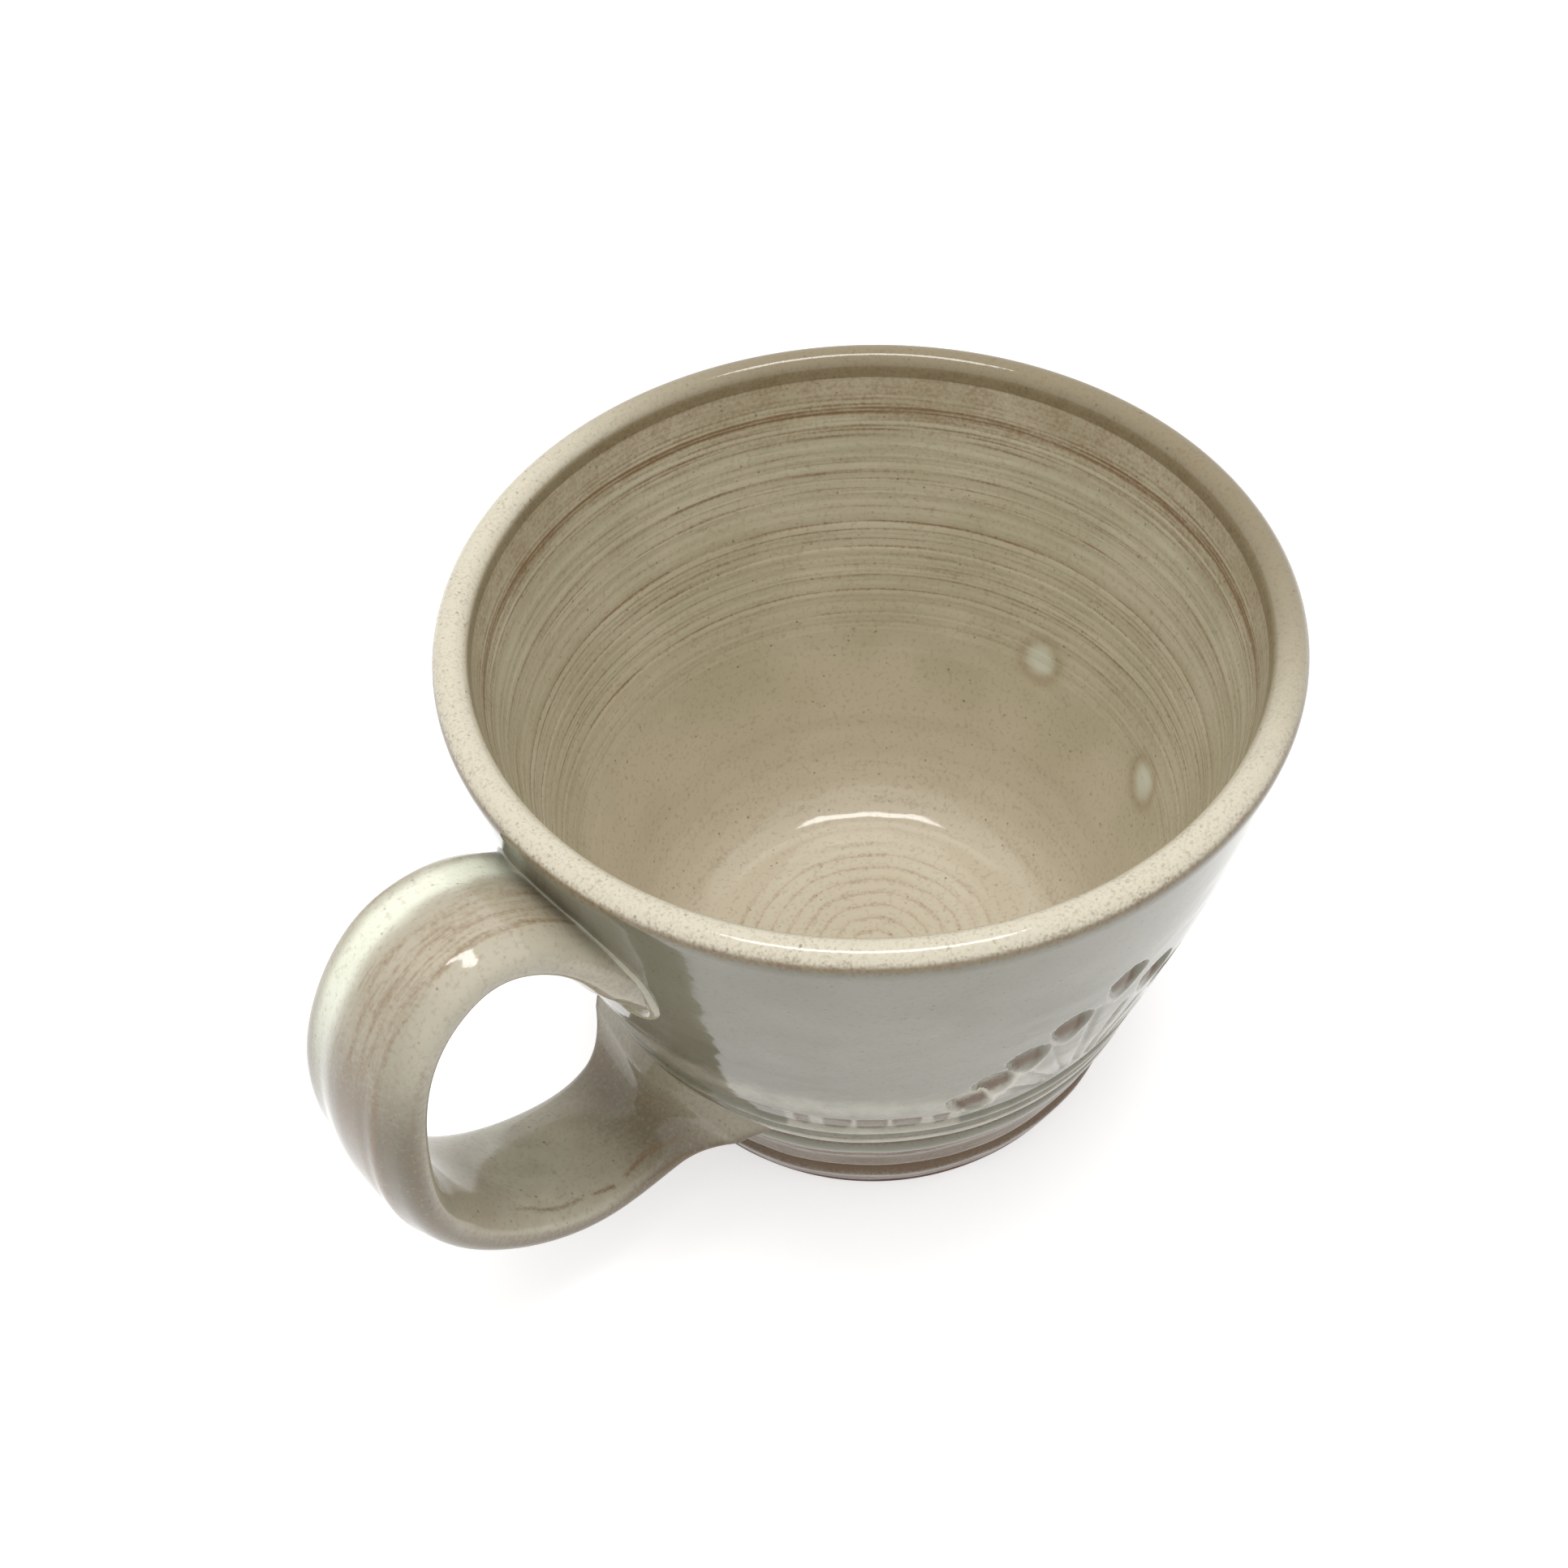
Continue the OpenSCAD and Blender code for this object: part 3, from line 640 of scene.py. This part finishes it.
# Darker olive over the lower half: painted shade where the strap faces down
lower = 0.9 * step(off, -0.5, 0.2) * step(run, 0.25, 0.48) * (1.0 - 0.3 * bump(across, -0.5, 0.25))
marks = {
    "brown": front * worn
    + 0.25 * bump(np.abs(across), 0.99, 0.03)
    # More brown on the inner face near the wall at the lower root: painted shade
    + back * (0.1 + 0.12 * bump(run, 0.95, 0.06))
    + 0.5 * broken,
    # White where the glaze pools in the channel; paler in the middle of the inner face as painted light
    "pool": front * channel + 0.3 * back * bump(run, 0.74, 0.12),
    "warm": front * 0.5 * bump(across, 0.2, 0.5) + back * 0.3,
    "streak": front * (0.35 + 0.65 * bump(across, 0.15, 0.5)) + 0.3 * back,
    # Olive on the lower half and on the inner face by the lower root: painted shade
    "lip": lower + back * 0.65 * bump(run, 0.94, 0.09),
}
for key, values in marks.items():
    layer = shape.attributes.new(key, "FLOAT", "POINT")
    layer.data.foreach_set("value", np.append(values.ravel(), [0.0, 0.0]).astype(np.float32))

# The strap unrolled in mm, along which its streaks are drawn
unrolled = shape.uv_layers.new(name="pull")
loop_point = np.zeros(len(shape.loops), np.int32)
shape.loops.foreach_get("vertex_index", loop_point)
flat = np.zeros((len(points) + 2, 2))
flat[: len(points), 0] = (run * 150.0).ravel()
flat[: len(points), 1] = (off * 4.0 + across * 12.0).ravel()
unrolled.data.foreach_set("uv", (flat[loop_point] * MM).ravel().astype(np.float32))

# Glaze over the strap: glossy beige, white where it pools, darker olive as painted shade below, brown streaks
# through it
tones = {
    "ground": "#b0aa96",
    "thick": "#c4bda9",
    "thin": "#8d7355",
    "pooled": "#f6f8e3",
    "lip": "#746a54",
    "warm": "#bdae96",
}
shape.materials.append(glaze("glaze over the pulled strap", tones, ("UV", 0.8, (0.07, 1.0, 1.0)), 0.28))
strap = bpy.data.objects.new("glazed_strap", shape)
bpy.context.collection.objects.link(strap)
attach(strap, "root")
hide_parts("pulled_handle", "handle_glaze")


# Joints: the clay that was worked into the seams where the strap meets the wall.
# A thin uneven bead runs round each root under the glaze, which pools pale along it.
def bead_tree():
    """An uneven bead along the points of a closed path, its radius in mm."""
    sizes = {"Radius": 0.7, "Unevenness": 0.35, "Lumps per metre": 260.0, "Seed": 3.0}
    tree, given, value = new_tree("seam bead", "Path", sizes, "Bead")
    path = add(tree, "GeometryNodeMeshToCurve", {0: given.outputs["Path"]})
    ring = add(tree, "GeometryNodeCurvePrimitiveCircle", {"Resolution": 14, "Radius": 1.0})
    place = add(tree, "GeometryNodeInputPosition").outputs[0]
    inputs = {"Vector": place, "W": value["Seed"], "Scale": value["Lumps per metre"], "Detail": 2.0}
    lumps = add(tree, "ShaderNodeTexNoise", inputs, noise_dimensions="4D")
    uneven = (Field(tree, lumps.outputs[0]) - 0.5) * 2.0 * value["Unevenness"] + 1.0
    size = value["Radius"] * MM * uneven
    inputs = {"Curve": path.outputs[0], "Profile Curve": ring.outputs[0], "Scale": size}
    hand_over(tree, add(tree, "GeometryNodeCurveToMesh", inputs).outputs[0], given, "Bead")
    return tree


# Glaze pooled along a seam: glossy grey-beige, more even than on the strap
tones = {
    "ground": "#b3af98",
    "thick": "#c0bba4",
    "thin": "#937357",
    "pooled": "#dadac1",
    "lip": "#eae4cd",
    "warm": "#c8b498",
}
seam_glaze = glaze("glaze pooled along a seam", tones, ("Object", 2.0, (1.0, 1.0, 1.0)), 0.3)
BEAD_POINTS, BEAD_SINK = 160, 0.3
bead = bead_tree()
for name, ends, size, node in (
    ("upper_seam", UPPER_ENDS, 0.9, "upper_joint"),
    ("lower_seam", LOWER_ENDS, 0.3, "lower_joint"),
):
    turn = np.linspace(0.0, 2.0 * np.pi, BEAD_POINTS, endpoint=False)[None, :]
    path = strap_point(landing(turn, ends, BEAD_SINK), turn)[:, 0].T * MM
    sketch = bpy.data.meshes.new(name + " path")
    sketch.from_pydata(path.tolist(), [(i, (i + 1) % BEAD_POINTS) for i in range(BEAD_POINTS)], [])
    piece = grown(name, sketch, bead, {"Radius": size, "Material": seam_glaze})
    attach(piece, "root")
    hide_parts(node)


# Inside glaze: an olive-beige coat, poured in, with the throwing rings showing through it.
# Fine rings run round the upper wall, the lower wall is smooth, a spiral winds on the floor.
COAT_FLOOR_H, BEND_TOP, BEND_R, BEND_CORNER_R = 8.2, 22.8, 36.27, 32.37
INNER_LIP_R, INNER_SWELL = 50.4, 1.6
RING_PITCH, GROOVE_H = 0.6, 73.2


def inner_wall(z):
    """Radius in mm of the glazed inside above the bend, without its rings."""
    up = (z - BEND_TOP) / (LIP_H - BEND_TOP)
    return BEND_R + (INNER_LIP_R - BEND_R) * up + INNER_SWELL * np.sin(np.pi * up)


# The upper wall, its rings of uneven depth and the one groove under the lip
heights = np.concatenate([np.linspace(LIP_H + 0.3, 34.0, 230), np.linspace(33.5, BEND_TOP, 22)])
ringed = step(heights, 26.0, 48.0) * step(heights, 77.0, 74.0)
chance = np.random.default_rng(11)
lines = np.zeros_like(heights)
for at in np.arange(34.5, 76.5, RING_PITCH):
    place = at + chance.uniform(-RING_PITCH / 2, RING_PITCH / 2)
    lines += chance.uniform(0.2, 1.0) ** 1.5 * bump(heights, place, chance.uniform(0.12, 0.24))
waves = 0.035 * np.sin(2 * np.pi * heights / 3.4) + 0.02 * np.sin(2 * np.pi * heights / 1.9 + 1.0)
radii = inner_wall(heights) + ringed * (waves + 0.06 * lines) + 0.16 * bump(heights, GROOVE_H, 0.22)
# The bend with its finger ridges, the floor, and the hidden back of the coat
t = np.linspace(1.0, 0.0, 34)[1:, None]
bend = (1 - t) ** 2 * (FLOOR_R, COAT_FLOOR_H) + t * t * (BEND_R, BEND_TOP)
bend = bend + 2 * (1 - t) * t * (BEND_CORNER_R, COAT_FLOOR_H)
bend = bend + 0.09 * np.sin(9.0 * np.pi * t) * np.sin(np.pi * t) * (1.0, 0.6)
floor = np.linspace(FLOOR_R, 0.0, 52)[1:]
rows = [(51.6, LIP_H - 0.4), (50.75, LIP_H + 0.2)]
wall_rows = slice(len(rows), len(rows) + len(heights))
bend_rows = slice(wall_rows.stop, wall_rows.stop + len(bend))
floor_rows = slice(bend_rows.stop, bend_rows.stop + len(floor))
rows += list(zip(radii, heights)) + bend.tolist() + [(r, COAT_FLOOR_H) for r in floor]
rows += [(0.0, 7.0), (FLOOR_R, 7.0), (29.0, 7.4), (33.2, 11.0), (35.5, 15.0)]
rows += [(37.6, BEND_TOP), (46.0, 50.0), (51.2, 77.0)]

marks = {key: np.zeros(len(rows)) for key in MARKS}
marks["face"][wall_rows.start : floor_rows.stop] = 1.0
marks["brown"][wall_rows] = ringed * 0.62 * np.clip(lines, 0, 1.2)
# Brown along the groove under the lip, and a brown band over the top of the wall that is painted shade under
# the lip
marks["brown"][wall_rows] += 0.5 * bump(heights, GROOVE_H, 0.15) + 0.45 * step(heights, 66.0, 80.0)
bands = np.sin(26.0 * t + 3.0 * np.sin(7.0 * t)) ** 4 * np.sin(np.pi * t)
marks["brown"][bend_rows] = 0.3 * bands[:, 0]
marks["pool"][wall_rows] = ringed * 0.5 * np.sin(2 * np.pi * heights / 1.7 + 2.0) ** 2
marks["streak"][wall_rows.start :] = 0.25
marks["streak"][wall_rows] += 0.6 * ringed
marks["warm"][wall_rows] = step(heights, 44.0, 16.0) * 0.65 + 0.2 * step(heights, 73.0, 78.0)
marks["warm"][bend_rows.start : floor_rows.stop] = np.linspace(0.7, 1.0, len(bend) + len(floor))
marks["floor"][floor_rows] = step(floor, FLOOR_R, 20.0) * step(floor, 0.0, 3.0)

# Olive glaze: glossy olive-beige, brown in the rings, warmer on the floor, with two pale painted highlights
# on the inner wall
tones = {
    "ground": "#bfb79c",
    "thick": "#cbc2aa",
    "thin": "#8c7052",
    "pooled": "#cccbb4",
    "lip": "#eae4cd",
    "warm": "#cfc4af",
}
# Place of each painted highlight spot in metres and its size in mm
PAINTED_HIGHLIGHT_SPOTS = (((-0.04109, -0.00565, 0.03877), 2.6), ((-0.03551, 0.02018, 0.03664), 2.7))
olive = glaze("olive glaze inside", tones, ("Object", 0.5, (0.03, 0.03, 1.0)), 0.28, PAINTED_HIGHLIGHT_SPOTS)
inputs = {"Segments": 280, "Spiral depth": 0.04, "Unevenness": 0.3, "Material": olive}
coat = turned("inner_coat", wall, rows, marks, inputs)
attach(coat, "root")
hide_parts("inner_glaze")


# Outside glaze: a glossy grey-green coat over the turned foot zone, the belly and the lip.
# It breaks to brown over edges and lines, pools in grooves, and follows the pressed fan of
# petals and the row of notches beside it; on the lip it is thin, creamy and speckled. Painted
# light makes the lower belly paler; painted shade darkens one side of the lip, its inner end,
# and the heads of the petals and the cells.
BARE_H = 2.5
heights = np.concatenate(
    [
        np.linspace(BARE_H + 0.3, 26.4, 52),
        np.linspace(26.6, WAIST_H - 0.06, 28),
        np.linspace(WAIST_H + 0.02, 34.0, 8),
        np.linspace(34.4, 63.0, 56),
        np.linspace(64.2, LIP_H, 12),
    ]
)
# Over the lip in one round, then a little way down the inside, and back hidden in the wall
bow = np.radians(np.linspace(12.0, 172.0, 17))
crown = [(RIM_R - LIP_R + LIP_R * math.cos(k), LIP_H + LIP_R * math.sin(k)) for k in bow]
tucked = [LIP_H - down for down in (0.1, 0.5, 0.9, 0.92)]
crown += [(float(inner_wall(z)) - 0.04, z) for z in tucked]
edge = float(outer_r(BARE_H))
rows = [(edge - 0.7, BARE_H), (edge - 0.25, BARE_H), (edge - 0.05, BARE_H + 0.15)]
wall_rows = slice(len(rows), len(rows) + len(heights))
lip_rows = slice(wall_rows.stop, wall_rows.stop + len(crown))
rows += list(zip(outer_r(heights), heights)) + crown
rows += [(51.0, LIP_H - 1.2), (51.9, LIP_H - 2.4), (49.5, 60.0), (42.0, 33.0), (36.0, 8.0)]

marks = {key: np.zeros(len(rows)) for key in MARKS}
marks["face"][2 : lip_rows.stop] = 1.0
marks["streak"][:] = 0.25 * (np.array(rows)[:, 1] < 31.0)
# Height, half height and strength of the lines that break brown, of the pools in the grooves, and of a broad
# pale band of painted table light on the lower belly
for key, lines in {
    "brown": (
        (8.15, 0.6, 1.2),
        (12.4, 0.4, 0.5),
        (15.9, 0.5, 0.6),
        (20.4, 0.4, 0.9),
        (23.6, 0.25, 0.6),
        (LIP_H - 0.2, 0.6, 0.3),
    ),
    # The pool at 36.5 mm, 5 mm wide each way, is no groove: it is painted light from the white table on the
    # lower belly
    "pool": ((6.3, 0.5, 0.7), (22.4, 1.6, 0.55), (25.8, 1.0, 0.5), (36.5, 5.0, 0.5)),
}.items():
    for at, half, strength in lines:
        marks[key][wall_rows] += strength * bump(heights, at, half)
for top, bottom, strength in ((5.0, 2.2, 1.5), (8.0, 4.0, 0.3), (19.5, 15.0, 0.65)):
    marks["brown"][wall_rows] += strength * step(heights, top, bottom)
marks["warm"][wall_rows] = 0.9 * step(heights, 20.5, 15.0)
none, full = np.zeros(len(tucked)), np.ones(len(tucked))
# Towards its inner end the lip loses its cream and turns brown: painted shade that runs on into the band
# under the lip
inner_half = np.append(step(bow, math.radians(176), math.radians(140)), none)
creamy = np.append(step(bow, math.radians(8), math.radians(45)), full)
marks["lip"][lip_rows] = creamy * (0.25 + 0.75 * inner_half)
marks["brown"][lip_rows] = np.append(0.45 * bump(bow, math.radians(20), 0.3), none)
marks["brown"][lip_rows] += 0.28 * (1.0 - inner_half)
marks["warm"][lip_rows] = 1.0

# Grey-green glaze: glossy and cloudy, brown where it is thin, chalky where it pools
tones = {
    "ground": "#7d7b68",
    "thick": "#898675",
    "thin": "#654823",
    "pooled": "#d0cab8",
    "lip": "#dad2bc",
    "warm": "#918468",
}
grey_green = glaze("grey-green glaze outside", tones, ("Object", 0.6, (0.04, 0.04, 1.0)), 0.2)
inputs = {
    "Segments": 520,
    "Crowding": 0.2,
    "Line wobble": 0.9,
    "Unevenness": 0.3,
    "Petals": 9,
    "Petal depth": 1.7,
    "Vein depth": 0.32,
    "Notch depth": 0.45,
    "Material": grey_green,
}
coat = turned("outer_coat", wall, rows, marks, inputs)
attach(coat, "root")
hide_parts("outer_glaze")


# Table: a sheet of white paper that runs on into a white background.
# It keeps the mug's soft shadow, and lights the mug no more than paper does.
def seen_directly(tree):
    """1 for the rays that see the white round the mug, 0 for those that light the mug."""
    path = add(tree, "ShaderNodeLightPath").outputs
    seen = Field(tree, path["Is Camera Ray"]) + path["Is Glossy Ray"] + path["Is Transmission Ray"]
    return seen.math("MINIMUM", 1.0)


# White paper: matt and almost even, with a faint cloud of fibres
FIBRE_MM, PAPER_GLOW = 2.0, 0.56
paper = bpy.data.materials.new("white paper")
paper.use_nodes = True
tree = paper.node_tree
shader = tree.nodes["Principled BSDF"]
spot = add(tree, "ShaderNodeTexCoord").outputs["Object"]
inputs = {"Vector": spot, "Scale": 1.0 / (FIBRE_MM * MM), "Detail": 3.0}
fibre = Field(tree, add(tree, "ShaderNodeTexNoise", inputs).outputs[0])
inputs = {0: fibre, 6: linear("#f3f3f3"), 7: linear("#f6f6f6")}
tone = add(tree, "ShaderNodeMix", inputs, data_type="RGBA").outputs[2]
tree.links.new(tone, shader.inputs["Base Color"])
tree.links.new((fibre * 0.1 + 0.8).socket, shader.inputs["Roughness"])
shader.inputs["Emission Color"].default_value = (1.0, 1.0, 1.0, 1.0)
tree.links.new((seen_directly(tree) * PAPER_GLOW).socket, shader.inputs["Emission Strength"])
shape = bpy.data.meshes.new("table")
shape.from_pydata([(-3, -3, 0), (3, -3, 0), (3, 3, 0), (-3, 3, 0)], [], [(0, 1, 2, 3)])
shape.materials.append(paper)
table = bpy.data.objects.new("table", shape)
bpy.context.collection.objects.link(table)


# Light: a white room, a little brighter towards the camera, a broad softbox above and a
# small one within it, which draws the bright lines on the lip, the strap and the floor.
PHOTO_TURN = Matrix.Rotation(math.radians(137.1), 4, "Z")
ROOM_LEVEL, ROOM_SLOPE = 0.55, 0.2
AIM_H = 0.05
scene = bpy.context.scene
room = bpy.data.worlds.new("white room")
scene.world = room
room.use_nodes = True
tree = room.node_tree
bright = PHOTO_TURN @ Vector((0.0, -1.0, 0.0))
way = add(tree, "ShaderNodeTexCoord").outputs["Generated"]
facing = add(tree, "ShaderNodeVectorMath", {0: way, 1: bright}, operation="DOT_PRODUCT")
level = Field(tree, facing.outputs["Value"]) * ROOM_SLOPE + ROOM_LEVEL
level = level.math("MAXIMUM", seen_directly(tree))
sky = tree.nodes["Background"]
sky.inputs["Color"].default_value = (1.0, 1.0, 1.0, 1.0)
tree.links.new(level.socket, sky.inputs["Strength"])
for name, place, size, energy in (
    ("broad softbox", (-0.1, 0.1, 0.85), (0.8, 0.8), 2.0),
    ("top softbox", (0.0, -0.02, 0.95), (0.46, 0.18), 2.8),
):
    lamp = bpy.data.lights.new(name, "AREA")
    lamp.shape = "RECTANGLE"
    lamp.size, lamp.size_y = size
    lamp.energy = energy
    softbox = bpy.data.objects.new(name, lamp)
    bpy.context.collection.objects.link(softbox)
    softbox.location = PHOTO_TURN @ Vector(place)
    aim = (Vector((0.0, 0.0, AIM_H)) - Vector(place)).to_track_quat("-Z", "Y")
    softbox.rotation_euler = (PHOTO_TURN.to_quaternion() @ aim).to_euler()
    softbox.visible_glossy = name == "top softbox"


# Camera: where the photograph was taken from, above the mug with the handle at the left.
# Its place and angles were worked out from the ellipses of the lip, the floor and the foot.
PHOTO_PX, FOCAL_PX, FILM_MM = 1932.0, 2500.0, 36.0
CAMERA_AWAY, CAMERA_H = 0.1833, 0.26125
PITCH, YAW, ROLL = (math.radians(k) for k in (49.25, -3.66, -3.59))
lens = bpy.data.cameras.new("camera")
lens.sensor_width = FILM_MM
lens.lens = FILM_MM * FOCAL_PX / PHOTO_PX
camera = bpy.data.objects.new("camera", lens)
bpy.context.collection.objects.link(camera)
scene.camera = camera
ahead = math.cos(PITCH)
forward = Vector((math.sin(YAW) * ahead, math.cos(YAW) * ahead, -math.sin(PITCH)))
right = Vector((math.cos(YAW), -math.sin(YAW), 0.0))
up = right.cross(forward)
rolled_right = math.cos(ROLL) * right + math.sin(ROLL) * up
rolled_up = -math.sin(ROLL) * right + math.cos(ROLL) * up
view = Matrix((rolled_right, rolled_up, -forward)).transposed().to_4x4()
view.translation = Vector((0.0, -CAMERA_AWAY, CAMERA_H))
camera.matrix_world = PHOTO_TURN @ view
scene.view_settings.view_transform = "Standard"
